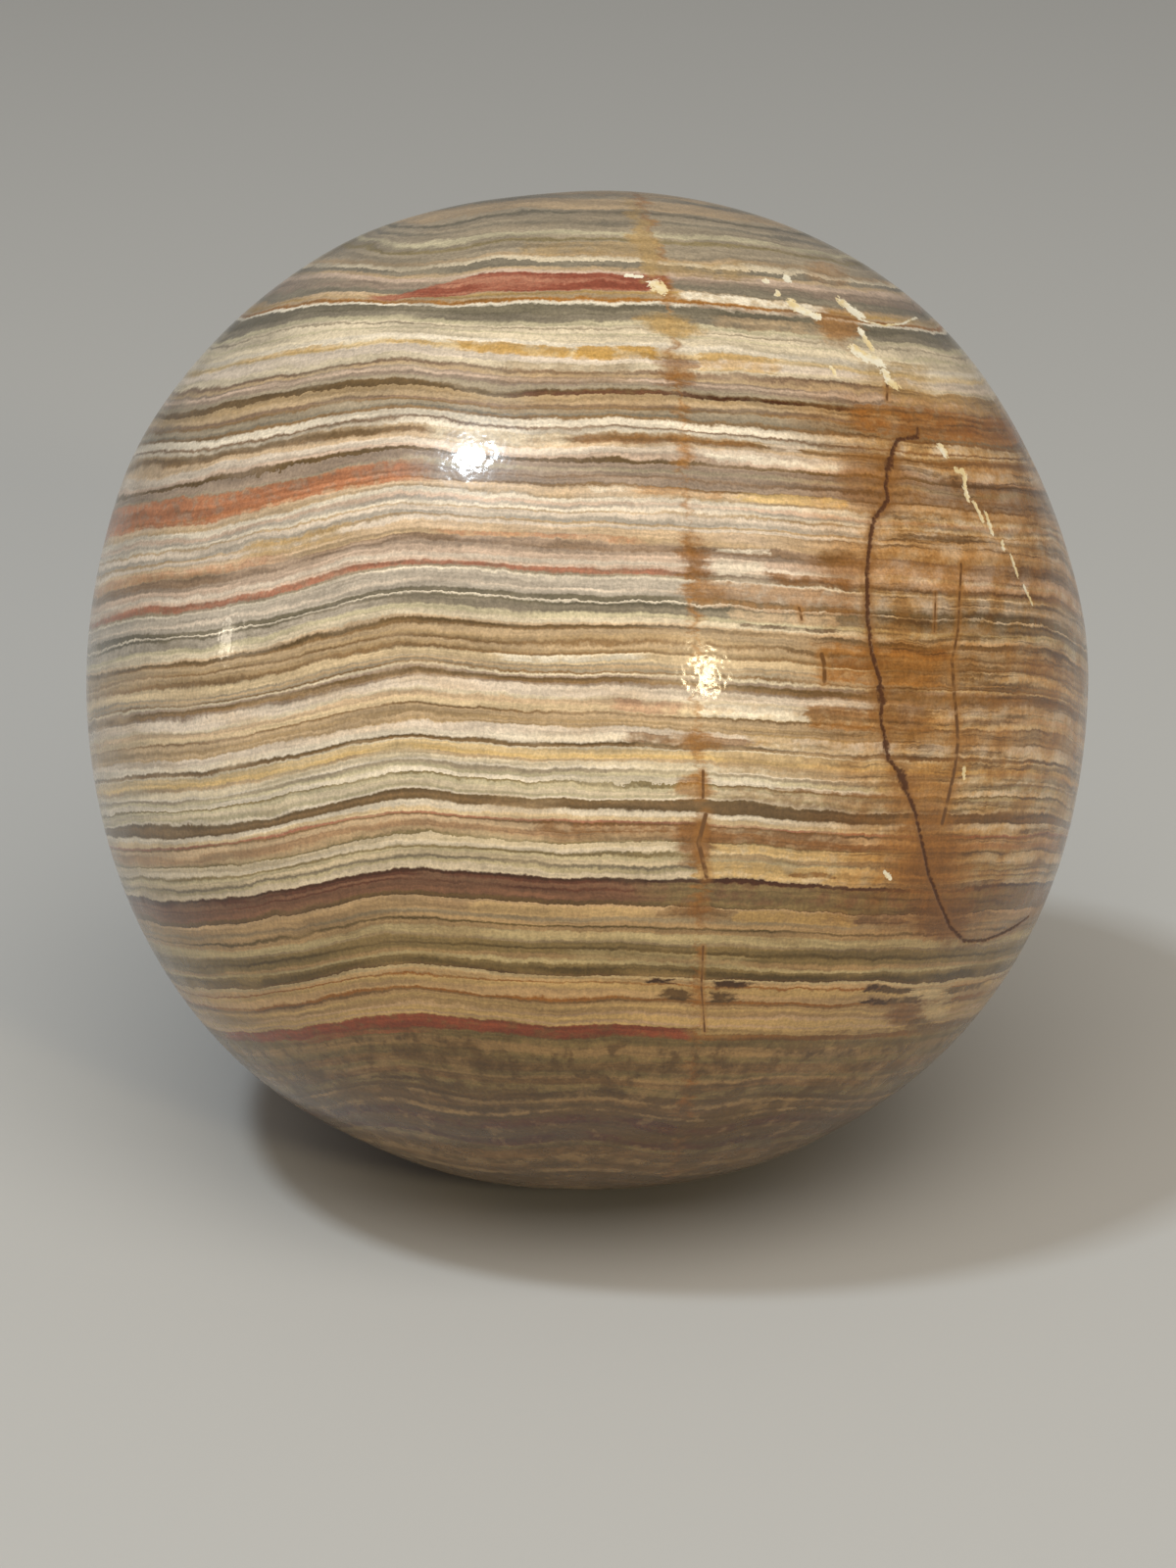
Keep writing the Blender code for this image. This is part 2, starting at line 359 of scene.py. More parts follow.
# Glint flecks along a healed crack: shallow chips whose pale cream to gold colour is partly
# their own and partly painted glints.
GLINT_FLECKS = (
    (0.55, ((4.8, 30.6), (5.1, 30.3))),
    (0.18, ((2.7, 31.15), (3.7, 31.1))),
    (0.26, ((12.8, 31.4), (12.8, 31.5))),
    (0.32, ((14.4, 31.9), (14.4, 31.7))),
    (0.18, ((13.7, 30.8), (13.5, 30.5))),
    (0.36, ((14.6, 30.1), (15.0, 29.6), (16.4, 29.3))),
    (0.52, ((18.4, 30.5), (19.0, 30.1), (19.6, 29.7))),
    (0.24, ((19.6, 28.6), (20.0, 27.9), (20.4, 27.3))),
    (0.46, ((19.1, 27.1), (19.9, 26.7), (20.9, 26.4))),
    (0.40, ((21.3, 25.7), (21.6, 25.1), (22.0, 24.9))),
    (0.17, ((17.3, 25.7), (17.5, 25.3))),
    (0.36, ((25.3, 20.7), (25.5, 20.4))),
    (0.22, ((26.4, 19.2), (27.0, 19.1), (27.0, 18.0), (27.2, 17.2))),
    (0.21, ((27.7, 17.0), (28.3, 15.8))),
    (0.20, ((28.6, 16.3), (29.0, 15.0))),
    (0.19, ((29.8, 14.3), (29.9, 13.9))),
    (0.16, ((30.5, 13.4), (31.0, 12.0))),
    (0.15, ((31.5, 11.3), (32.2, 10.1))),
    (0.15, ((26.7, -1.7), (26.7, -2.5))),
    (0.16, ((20.9, -9.5), (21.3, -9.9))),
    (0.09, ((19.8, 29.3), (21.5, 29.1), (23.0, 29.4), (24.3, 30.0))),
)
LINE_REACH = 9.0
CRACK_DEPTH = 0.07
FLECK_DEPTH = 0.03

# Fine mesh
BALL_SUBDIVISIONS = 7
REFINE_BANDS = ((1.1, 0.42), (0.7, 0.22), (0.45, 0.11))

# Camera, from the photo's 1200 by 1600 frame
PHOTO_WIDTH = 1200.0
PHOTO_HEIGHT = 1600.0
FOCAL_PIXELS = 5000.0
BALL_IN_PHOTO = (598.2, 704.3)
CAMERA_DISTANCE = 0.376
CAMERA_DROP = math.radians(19.4)
FILM = 36.0


def block_axes():
    """Rotation from the ball's own squarish block to the world, as columns."""
    lean = Matrix.Rotation(-BED_LEAN, 3, "X")
    turn = Matrix.Rotation(-BLOCK_TURN, 3, "Y")
    return np.array(lean @ turn)


def outline_direction(around):
    """Unit vector from the ball's centre to a place on the outline."""
    upward = np.array((0.0, math.sin(OUTLINE_LEAN), math.cos(OUTLINE_LEAN)))
    nearer = np.array((0.0, -math.cos(OUTLINE_LEAN), math.sin(OUTLINE_LEAN)))
    sideways = np.array((1.0, 0.0, 0.0))
    around = math.radians(around)
    in_plane = math.cos(around) * sideways + math.sin(around) * upward
    return math.cos(OUTLINE_NEARER) * in_plane + math.sin(OUTLINE_NEARER) * nearer


def ball_radius(directions):
    """Distance from the centre to the surface for rows of unit vectors."""
    along = directions @ block_axes()
    corner = 1.0 - (along ** 4).sum(axis=1)
    radius = AXIS_RADIUS * (1.0 + SQUARENESS * corner)
    for around, amount, half_width in SWELLS:
        cosine = np.clip(directions @ outline_direction(around), -1.0, 1.0)
        away = np.arccos(cosine) / math.radians(half_width)
        radius = radius + amount * np.exp(-away ** 2)
    return radius


def fold_height(across):
    """How far the fold drops the beds at a place across."""
    places, drops = zip(*FOLD)
    return float(np.interp(across, places, drops))


def front_point(across, height):
    """The point of the ball's front at a place in the bed frame, from the centre."""
    slope = math.tan(BED_LEAN)
    level = height / math.cos(BED_LEAN) - fold_height(across) + BED_ZERO[2]
    x = across + BED_ZERO[0]
    radius = AXIS_RADIUS
    for _ in range(6):
        square = 1.0 + slope * slope
        half = level * slope
        rest = x * x + level * level - radius * radius
        y = (half - math.sqrt(max(half * half - square * rest, 0.0))) / square
        point = np.array((x, y, level - slope * y))
        direction = point / np.linalg.norm(point)
        radius = float(ball_radius(direction[None, :])[0])
    return direction * radius


def slanted(across, height):
    """A place across as the joints run: slanted with depth."""
    return across + JOINT_SLANT * front_point(across, height)[1]


def line_segments(lines):
    """Ends and half widths of every segment of some drawn lines."""
    starts, ends, widths = [], [], []
    for half_width, points in lines:
        places = [front_point(across, height) for across, height in points]
        for start, end in zip(places, places[1:]):
            starts.append(start)
            ends.append(end)
            widths.append(half_width)
    return np.array(starts), np.array(ends), np.array(widths)


def line_distance(points, segments):
    """Distance to the nearest segment, and the same in half widths."""
    starts, ends, widths = segments
    nearest = np.full(len(points), 99.0)
    relative = np.full(len(points), 99.0)
    for start, end, half_width in zip(starts, ends, widths):
        run = end - start
        share = np.clip((points - start) @ run / (run @ run), 0.0, 1.0)
        away = np.linalg.norm(points - start - share[:, None] * run, axis=1)
        nearest = np.minimum(nearest, away)
        relative = np.minimum(relative, away / half_width)
    return nearest, relative


def vertex_places(shape):
    """Rows of vertex positions."""
    return np.array([vertex.co[:] for vertex in shape.verts])


def put_on_surface(shape):
    """Move every vertex out to the ball's surface."""
    places = vertex_places(shape)
    directions = places / np.linalg.norm(places, axis=1)[:, None]
    surface = directions * ball_radius(directions)[:, None]
    for vertex, place in zip(shape.verts, surface):
        vertex.co = place


def refine_near(shape, segments, band, longest):
    """Split the edges near the drawn lines that are still too long."""
    nearest = line_distance(vertex_places(shape), segments)[0]
    shape.verts.index_update()
    chosen = [
        edge for edge in shape.edges
        if min(nearest[edge.verts[0].index], nearest[edge.verts[1].index]) < band
        and edge.calc_length() > longest
    ]
    bmesh.ops.subdivide_edges(shape, edges=chosen, cuts=1, use_grid_fill=True)
    bmesh.ops.triangulate(shape, faces=shape.faces)
    put_on_surface(shape)


def grind_foot(shape):
    """Cut the foot flat and return its height below the centre."""
    lowest = min(vertex.co.z for vertex in shape.verts)
    depth = AXIS_RADIUS - math.sqrt(AXIS_RADIUS ** 2 - FOOT_RADIUS ** 2)
    height = lowest + depth
    cut = bmesh.ops.bisect_plane(
        shape,
        geom=shape.verts[:] + shape.edges[:] + shape.faces[:],
        dist=0.001,
        plane_co=(0.0, 0.0, height),
        plane_no=(0.0, 0.0, 1.0),
        clear_inner=True,
    )
    rim = [part for part in cut["geom_cut"] if isinstance(part, bmesh.types.BMEdge)]
    bmesh.ops.contextual_create(shape, geom=rim)
    for edge in rim:
        edge.smooth = False
    return height


def open_lines(shape, cracks, glint_flecks):
    """Sink the crack and the flecked chips a little into the surface."""
    places = vertex_places(shape)
    crack = line_distance(places, cracks)[1]
    glint_fleck = line_distance(places, glint_flecks)[1]
    groove = CRACK_DEPTH * np.exp(-crack ** 2)
    chip = FLECK_DEPTH * np.clip(1.3 - glint_fleck, 0.0, 1.0)
    directions = places / np.linalg.norm(places, axis=1)[:, None]
    sunk = places - directions * (groove + chip)[:, None]
    for vertex, place in zip(shape.verts, sunk):
        vertex.co = place


def store_lines(mesh, places, name, segments):
    """Keep a drawn line's distance, in half widths, as an attribute."""
    relative = np.minimum(line_distance(places, segments)[1], LINE_REACH)
    attribute = mesh.attributes.new(name, "FLOAT", "POINT")
    attribute.data.foreach_set("value", relative.astype(np.float32))


def make_ball():
    """The stone's fine surface, and its centre in the world."""
    cracks = line_segments(CRACKS)
    veins = line_segments(VEINS)
    glint_flecks = line_segments(GLINT_FLECKS)
    every_line = tuple(np.concatenate(parts) for parts in zip(cracks, veins, glint_flecks))

    shape = bmesh.new()
    bmesh.ops.create_icosphere(shape, subdivisions=BALL_SUBDIVISIONS, radius=AXIS_RADIUS)
    put_on_surface(shape)
    for band, longest in REFINE_BANDS:
        refine_near(shape, every_line, band, longest)
    open_lines(shape, cracks, glint_flecks)
    grind_foot(shape)
    bmesh.ops.recalc_face_normals(shape, faces=shape.faces)
    for face in shape.faces:
        face.smooth = True

    places = vertex_places(shape)
    low = places.min(axis=0)
    high = places.max(axis=0)
    cad_middle = (np.array(cad_low) + np.array(cad_high)) / 2.0
    centre = Vector(cad_middle - (low + high) / 2.0 * MM)
    centre.z = cad_low[2] - low[2] * MM

    mesh = bpy.data.meshes.new("onyx_ball")
    for vertex in shape.verts:
        vertex.co = centre + vertex.co * MM
    shape.to_mesh(mesh)
    shape.free()
    store_lines(mesh, places, "crack", cracks)
    store_lines(mesh, places, "vein", veins)
    store_lines(mesh, places, "glint_fleck", glint_flecks)
    ball = bpy.data.objects.new("onyx_ball", mesh)
    bpy.context.scene.collection.objects.link(ball)
    return ball, centre


def linear_colour(name):
    """A named stone colour as linear red, green, blue and alpha."""
    shares = [value / 255.0 for value in COLOURS[name]]
    return [((share + 0.055) / 1.055) ** 2.4 for share in shares] + [1.0]


class Graph:
    """Adds nodes to a node tree and joins them."""

    def __init__(self, tree):
        self.tree = tree

    def add(self, kind, **settings):
        node = self.tree.nodes.new(kind)
        for name, value in settings.items():
            setattr(node, name, value)
        return node

    def feed(self, socket, value):
        if isinstance(value, bpy.types.NodeSocket):
            self.tree.links.new(value, socket)
        else:
            socket.default_value = value

    def math(self, operation, first, second=0.0, clamp=False):
        node = self.add("ShaderNodeMath", operation=operation, use_clamp=clamp)
        self.feed(node.inputs[0], first)
        self.feed(node.inputs[1], second)
        return node.outputs[0]

    def vector(self, operation, *values):
        node = self.add("ShaderNodeVectorMath", operation=operation)
        for socket, value in zip(node.inputs, values):
            self.feed(socket, value)
        return node.outputs["Value" if operation in ("DOT_PRODUCT", "LENGTH") else "Vector"]

    def combine(self, x, y, z):
        node = self.add("ShaderNodeCombineXYZ")
        for socket, value in zip(node.inputs, (x, y, z)):
            self.feed(socket, value)
        return node.outputs[0]

    def mix(self, factor, first, second, blend="MIX"):
        node = self.add("ShaderNodeMix", data_type="RGBA", blend_type=blend)
        self.feed(node.inputs[0], factor)
        self.feed(node.inputs[6], first)
        self.feed(node.inputs[7], second)
        return node.outputs[2]

    def ease(self, value, start, end, low=0.0, high=1.0):
        node = self.add("ShaderNodeMapRange", interpolation_type="SMOOTHSTEP")
        for socket, setting in zip(node.inputs, (value, start, end, low, high)):
            self.feed(socket, setting)
        return node.outputs[0]

    def noise(self, vector, scale, detail=2.0, roughness=0.5):
        node = self.add("ShaderNodeTexNoise")
        self.feed(node.inputs["Vector"], vector)
        node.inputs["Scale"].default_value = scale
        node.inputs["Detail"].default_value = detail
        node.inputs["Roughness"].default_value = roughness
        return node.outputs[0]

    def swing(self, noise, amount):
        """A noise turned into a swing of about plus or minus an amount."""
        centred = self.math("SUBTRACT", noise, 0.5)
        return self.math("MULTIPLY", centred, 2.0 * amount)


def slab_colour(graph, height, slab, bottom):
    """The colour of one slab of the column at a height."""
    top = slab[0][0]
    share = graph.add("ShaderNodeMapRange")
    for socket, setting in zip(share.inputs, (height, bottom, top, 0.0, 1.0)):
        graph.feed(socket, setting)
    node = graph.add("ShaderNodeValToRGB")
    graph.feed(node.inputs[0], share.outputs[0])
    ramp = node.color_ramp
    tops = [bed[0] for bed in slab] + [bottom]
    stops = []
    for (bed_top, name), bed_bottom in zip(slab, tops[1:]):
        edge = min(BED_EDGE, (bed_top - bed_bottom) / 3.0)
        stops.append((bed_top - edge, name))
        stops.append((bed_bottom + edge, name))
    stops.sort()
    while len(ramp.elements) < len(stops):
        ramp.elements.new(0.5)
    for element, (place, name) in zip(ramp.elements, stops):
        element.position = (place - bottom) / (top - bottom)
        element.color = linear_colour(name)
    return node.outputs[0]


def column_colour(graph, height):
    """The colour of the whole column of beds at a height."""
    bottoms = [slab[0][0] for slab in COLUMN[1:]] + [COLUMN[-1][-1][0]]
    slabs = list(zip(COLUMN, bottoms))
    slabs[-1] = (COLUMN[-1][:-1], bottoms[-1])
    colour = None
    for slab, bottom in reversed(slabs):
        layer = slab_colour(graph, height, slab, bottom)
        if colour is None:
            colour = layer
        else:
            above = graph.math("GREATER_THAN", height, bottom)
            colour = graph.mix(above, colour, layer)
    return colour


def bed_height(graph, place, x, y):
    """Height in the column, with the fold, its change upwards and the ripples."""
    normal = (0.0, math.sin(BED_LEAN), math.cos(BED_LEAN))
    flat = graph.vector("DOT_PRODUCT", place, normal)

    share = graph.math("DIVIDE", graph.math("ADD", x, FOLD_REACH), 2.0 * FOLD_REACH)
    curve = graph.add("ShaderNodeFloatCurve")
    graph.feed(curve.inputs["Value"], share)
    points = curve.mapping.curves[0].points
    while len(points) < len(FOLD):
        points.new(0.5, 0.5)
    for point, (across, drop) in zip(points, FOLD):
        point.location = (
            (across + FOLD_REACH) / (2.0 * FOLD_REACH),
            0.5 + drop / (2.0 * FOLD_DEPTH),
        )
    curve.mapping.update()
    fold = graph.math("SUBTRACT", curve.outputs[0], 0.5)
    fold = graph.math("MULTIPLY", fold, 2.0 * FOLD_DEPTH * math.cos(BED_LEAN))
    height = graph.math("ADD", flat, fold)

    # Higher beds climb more to the left of the crest, and sag just beside it
    left = graph.ease(x, -8.0, -26.0)
    upper = graph.ease(height, 13.0, 24.0)
    climb = graph.math("MULTIPLY", graph.math("MULTIPLY", left, upper), 1.6)
    height = graph.math("SUBTRACT", height, climb)
    beside = graph.math("DIVIDE", graph.math("ADD", x, 13.0), 5.0)
    dip = graph.math("MULTIPLY", graph.math("MULTIPLY", beside, beside), -1.0)
    dip = graph.math("EXPONENT", dip)
    dip = graph.math("MULTIPLY", dip, graph.ease(height, 25.0, 31.5))
    height = graph.math("ADD", height, graph.math("MULTIPLY", dip, 1.5))

    # The lowest beds roll in small waves
    turn = graph.math("MULTIPLY", graph.math("ADD", x, 0.5), 2.0 * math.pi / 15.6)
    roll = graph.math("MULTIPLY", graph.math("COSINE", turn), graph.ease(height, -23.5, -29.0))
    height = graph.math("SUBTRACT", height, graph.math("MULTIPLY", roll, 0.5))

    # Away from the front the beds wander
    wander = graph.swing(graph.noise(place, 0.035, 1.0), 2.4)
    away = graph.ease(y, -14.0, 22.0)
    height = graph.math("ADD", height, graph.math("MULTIPLY", wander, away))

    # Beds thicken and thin along their length
    level = graph.combine(
        graph.math("MULTIPLY", x, 0.07),
        graph.math("MULTIPLY", y, 0.07),
        graph.math("MULTIPLY", height, 0.8),
    )
    thickness = graph.swing(graph.noise(level, 1.0, 1.0), 0.42)
    height = graph.math("ADD", height, thickness)

    # Ripples, shared by neighbouring beds
    tall = graph.vector("MULTIPLY", place, (1.0, 1.0, 0.6))
    ripple = graph.swing(graph.noise(tall, 0.30, 1.0, 0.55), 0.26)
    crinkle = graph.swing(graph.noise(tall, 1.5, 1.0, 0.6), 0.13)
    fuzz = graph.swing(graph.noise(place, 4.5, 1.0, 0.6), 0.10)
    ripple = graph.math("ADD", ripple, graph.math("ADD", crinkle, fuzz))
    return graph.math("ADD", height, ripple)


def lay_patches(graph, colour, across, height, worn):
    """Lay the patches over the column's colour."""
    spot = graph.combine(across, height, graph.math("SUBTRACT", 1.0, worn))
    for name, left, right, top, bottom, fade, strength in PATCHES:
        middle = (top + bottom) / 2.0
        reach = 37.0 * math.cos(math.asin(min(abs(middle) / 39.0, 1.0)))
        if abs(left) < reach:
            left = slanted(left, middle)
        if abs(right) < reach:
            right = slanted(right, middle)
        away = graph.vector("SUBTRACT", spot, ((left + right) / 2.0, middle, 0.0))
        away = graph.vector("ABSOLUTE", away)
        slope = (1.0 / fade, 1.0 / PATCH_EDGE, strength)
        start = (0.5 - (right - left) / 2.0 / fade, 0.5 - (top - bottom) / 2.0 / PATCH_EDGE, 0.0)
        outside = graph.vector("MULTIPLY_ADD", away, slope, start)
        outside = graph.vector("MAXIMUM", outside, (0.0, 0.0, 0.0))
        outside = graph.vector("LENGTH", outside)
        mask = graph.math("SUBTRACT", strength, outside, clamp=True)
        colour = graph.mix(mask, colour, linear_colour(name))
    return colour


def lay_stains(graph, colour, across, height, blotch):
    """Lay the soft stains over the beds, with blotched edges."""
    spot = graph.combine(across, height, 0.0)
    frayed = graph.swing(blotch, 1.1)
    for name, middle, level, half_width, half_height, strength in STAINS:
        scale = (1.0 / half_width, 1.0 / half_height, 0.0)
        start = (-slanted(middle, level) / half_width, -level / half_height, 0.0)
        away = graph.vector("LENGTH", graph.vector("MULTIPLY_ADD", spot, scale, start))
        away = graph.math("ADD", away, frayed)
        mask = graph.ease(away, 1.25, 0.45, 0.0, strength)
        colour = graph.mix(mask, colour, linear_colour(name))
    return colour


def lay_lens(graph, colour, smooth_across, height, laminae):
    """Lay the brick red lens, which tapers to the left."""
    begin, full, end = LENS_ACROSS
    top = graph.ease(smooth_across, begin, full, LENS_TOP[0], LENS_TOP[1])
    bottom = graph.ease(smooth_across, begin, full, LENS_BOTTOM[0], LENS_BOTTOM[1])
    below_top = graph.math("SUBTRACT", top, height)
    above_bottom = graph.math("SUBTRACT", height, bottom)
    mask = graph.ease(graph.math("MINIMUM", below_top, above_bottom), -0.04, 0.14, 0.0, 0.95)
    mask = graph.math("MULTIPLY", mask, graph.ease(smooth_across, begin, begin + 1.2))
    mask = graph.math("MULTIPLY", mask, graph.ease(smooth_across, end, end - 0.7))
    streaked = graph.ease(laminae, 0.40, 0.62)
    brick = graph.mix(streaked, linear_colour("brick"), linear_colour("coral"))
    return graph.mix(mask, colour, brick)


def stain_with_rust(graph, colour, place, across, height, blotch, laminae):
    """Soak the right part and the first joint with rust."""
    soaked = graph.ease(across, RUST_ACROSS[0], RUST_ACROSS[1])
    above = graph.ease(height, RUST_HEIGHT[0], RUST_HEIGHT[1])
    below = graph.ease(height, RUST_HEIGHT[3], RUST_HEIGHT[2])
    soaked = graph.math("MULTIPLY", soaked, graph.math("MULTIPLY", above, below))
    soaked = graph.math("MULTIPLY", soaked, graph.ease(blotch, 0.34, 0.60, 0.45, 1.0))
    soaked = graph.math("MULTIPLY", soaked, RUST_AMOUNT)
    tinted = graph.mix(1.0, colour, (0.78, 0.57, 0.32, 1.0), "MULTIPLY")
    tinted = graph.mix(0.22, tinted, linear_colour("rust"))
    colour = graph.mix(soaked, colour, tinted)
    darker = graph.math("MULTIPLY", soaked, graph.ease(blotch, 0.52, 0.68, 0.0, 0.45))
    colour = graph.mix(darker, colour, linear_colour("wood"))
    lined = graph.math("MULTIPLY", soaked, graph.ease(laminae, 0.48, 0.36, 0.0, 0.6))
    colour = graph.mix(lined, colour, linear_colour("bark"))

    # The first joint: a thin rusty sheet that comes and goes up the column
    wander = graph.swing(graph.noise(place, 0.8, 1.0), 0.5)
    from_joint = graph.math("SUBTRACT", across, 3.9)
    from_joint = graph.math("ABSOLUTE", graph.math("ADD", from_joint, wander))
    comes = graph.noise(graph.combine(0.0, 0.0, height), 0.45, 1.0)
    width = graph.ease(comes, 0.38, 0.66, 0.12, 0.9)
    sheet = graph.math("DIVIDE", from_joint, width)
    sheet = graph.math("SUBTRACT", 1.0, sheet, clamp=True)
    sheet = graph.math("MULTIPLY", sheet, graph.ease(comes, 0.36, 0.60, 0.25, 0.8))
    return graph.mix(sheet, colour, linear_colour("rust"))


def soften_beds(graph, colour, x, y, height):
    """Let the beds fade here and there towards their undertone."""
    share = graph.math("DIVIDE", graph.math("ADD", height, 40.0), 80.0)
    node = graph.add("ShaderNodeValToRGB")
    graph.feed(node.inputs[0], share)
    ramp = node.color_ramp
    while len(ramp.elements) < len(UNDERTONE):
        ramp.elements.new(0.5)
    for element, (place, name) in zip(ramp.elements, UNDERTONE):
        element.position = (place + 40.0) / 80.0
        element.color = linear_colour(name)
    along = graph.combine(
        graph.math("MULTIPLY", x, 0.13),
        graph.math("MULTIPLY", y, 0.13),
        graph.math("MULTIPLY", height, 0.9),
    )
    fade = graph.ease(graph.noise(along, 1.0, 2.0, 0.6), 0.45, 0.72, 0.0, 0.5)
    return graph.mix(fade, colour, node.outputs[0])


def shade(graph, colour, amount):
    """Multiply a colour by one number."""
    return graph.mix(1.0, colour, graph.combine(amount, amount, amount), "MULTIPLY")


def add_grain(graph, colour, place, x, y, height, laminae):
    """Fine laminae along the beds, upright fibres, mottling low down, specks, and painted shade
    that darkens the lower half towards the bottom.
    """
    mottle = graph.noise(graph.vector("MULTIPLY", place, (1.0, 1.0, 0.8)), 0.55, 3.0, 0.65)
    low = graph.ease(height, -22.0, -23.5)
    dusky = graph.math("MULTIPLY", graph.ease(mottle, 0.46, 0.60, 0.0, 0.8), low)
    colour = graph.mix(dusky, colour, linear_colour("umber"))
    pale = graph.math("MULTIPLY", graph.ease(mottle, 0.46, 0.32, 0.0, 0.6), low)
    colour = graph.mix(pale, colour, linear_colour("sand"))

    colour = shade(graph, colour, graph.ease(laminae, 0.30, 0.70, 0.72, 1.22))
    upright = graph.combine(
        graph.math("MULTIPLY", x, 2.4),
        graph.math("MULTIPLY", y, 2.4),
        graph.math("MULTIPLY", height, 0.9),
    )
    fibres = graph.ease(graph.noise(upright, 1.0, 2.0, 0.7), 0.28, 0.72, 0.90, 1.08)
    colour = shade(graph, colour, fibres)
    specks = graph.ease(graph.noise(place, 5.0, 1.0, 0.7), 0.25, 0.75, 0.86, 1.12)
    colour = shade(graph, colour, specks)
    # Painted shade: the lower half darkens towards the bottom, partly the lower beds' own darker
    # tone.
    shaded_lower_half = graph.mix(1.0, colour, (0.78, 0.68, 0.50, 1.0), "MULTIPLY")
    return graph.mix(graph.ease(height, -2.0, -18.0), colour, shaded_lower_half)


def line_mask(graph, name, inner, outer):
    """1 on a drawn line, fading out between two distances in half widths."""
    node = graph.add("ShaderNodeAttribute", attribute_name=name)
    return graph.ease(node.outputs["Fac"], outer, inner)


def line_distance_node(graph, name, uneven):
    """Distance to a drawn line in half widths, made uneven by a noise."""
    node = graph.add("ShaderNodeAttribute", attribute_name=name)
    return graph.math("ADD", node.outputs["Fac"], uneven)


def onyx_material(centre):
    """Polished banded onyx."""
    material = bpy.data.materials.new("onyx")
    material.use_nodes = True
    graph = Graph(material.node_tree)
    shader = material.node_tree.nodes["Principled BSDF"]

    zero = centre + Vector(BED_ZERO) * MM
    from_zero = graph.vector("SUBTRACT", graph.add("ShaderNodeTexCoord").outputs["Object"], zero)
    place = graph.vector("MULTIPLY", from_zero, (1.0 / MM,) * 3)
    split = graph.add("ShaderNodeSeparateXYZ")
    graph.feed(split.inputs[0], place)
    x, y = split.outputs[0], split.outputs[1]

    height = bed_height(graph, place, x, y)
    laminated = graph.combine(
        graph.math("MULTIPLY", x, 0.3),
        graph.math("MULTIPLY", y, 0.3),
        graph.math("MULTIPLY", height, 2.6),
    )
    ragged = graph.swing(graph.noise(laminated, 1.0, 2.0, 0.6), 1.3)
    ragged = graph.math("ADD", ragged, graph.swing(graph.noise(place, 2.2, 1.0, 0.6), 0.35))
    smooth_across = graph.math("ADD", x, graph.math("MULTIPLY", y, JOINT_SLANT))
    across = graph.math("ADD", smooth_across, ragged)
    along = graph.combine(
        graph.math("MULTIPLY", x, 0.10),
        graph.math("MULTIPLY", y, 0.10),
        graph.math("MULTIPLY", height, 2.4),
    )
    laminae = graph.noise(along, 1.0, 3.0, 0.65)
    blotch = graph.noise(graph.vector("MULTIPLY", place, (1.0, 1.0, 1.7)), 0.30, 4.0, 0.68)
    worn = graph.noise(graph.vector("MULTIPLY", place, (1.0, 1.0, 1.6)), 0.9, 2.0, 0.6)
    worn = graph.ease(worn, 0.34, 0.56, 0.45, 1.0)

    colour = column_colour(graph, height)
    colour = soften_beds(graph, colour, x, y, height)
    colour = lay_patches(graph, colour, across, height, worn)
    colour = lay_lens(graph, colour, smooth_across, height, laminae)
    colour = stain_with_rust(graph, colour, place, across, height, blotch, laminae)
    colour = lay_stains(graph, colour, across, height, blotch)
    colour = add_grain(graph, colour, place, x, y, height, laminae)

    uneven = graph.swing(graph.noise(place, 3.0, 2.0, 0.65), 1.6)
    broken = graph.ease(graph.noise(place, 1.6, 1.0), 0.32, 0.55, 0.35, 1.0)
    vein_halo = graph.math("MULTIPLY", line_mask(graph, "vein", 1.0, 5.0), 0.45)
    colour = graph.mix(vein_halo, colour, linear_colour("rust"))
    vein = graph.math("MULTIPLY", line_mask(graph, "vein", 0.6, 1.4), broken)
    colour = graph.mix(vein, colour, linear_colour("bark"))
    crack_halo = graph.math("MULTIPLY", line_mask(graph, "crack", 0.8, 6.0), broken)
    crack_halo = graph.math("MULTIPLY", crack_halo, 0.7)
    colour = graph.mix(crack_halo, colour, linear_colour("wood"))
    crack = line_distance_node(graph, "crack", uneven)
    crack = graph.ease(crack, 1.7, 0.5, 0.0, 0.92)
    colour = graph.mix(crack, colour, linear_colour("ink"))
    # Painted glints: the chips along the healed crack are coloured pale cream to gold, partly
    # their own pale colour and partly light glinting off their facets.
    glint_fleck = line_distance_node(graph, "glint_fleck", uneven)
    glint_fleck = graph.ease(glint_fleck, 1.25, 0.85)
    glint_gold = graph.ease(blotch, 0.42, 0.60)
    cream = graph.mix(glint_gold, (0.90, 0.82, 0.64, 1.0), (0.80, 0.62, 0.32, 1.0))
    colour = graph.mix(glint_fleck, colour, cream)
    graph.feed(shader.inputs["Base Color"], colour)

    wear = graph.noise(place, 0.5, 2.0, 0.6)
    roughness = graph.ease(wear, 0.3, 0.7, 0.24, 0.36)
    roughness = graph.math("ADD", roughness, graph.math("MULTIPLY", crack, 0.5))
    graph.feed(shader.inputs["Roughness"], roughness)

    bump = graph.add("ShaderNodeBump")
    bump.inputs["Strength"].default_value = 0.09
    bump.inputs["Distance"].default_value = 0.0004
    polish = graph.noise(place, 0.8, 2.0, 0.6)
    graph.feed(bump.inputs["Height"], polish)
    graph.feed(shader.inputs["Normal"], bump.outputs[0])
    graph.feed(shader.inputs["Coat Normal"], bump.outputs[0])

    shader.inputs["IOR"].default_value = 1.5
    shader.inputs["Specular IOR Level"].default_value = 0.3
    shader.inputs["Coat Weight"].default_value = 0.5
    shader.inputs["Coat Roughness"].default_value = 0.09
    return material


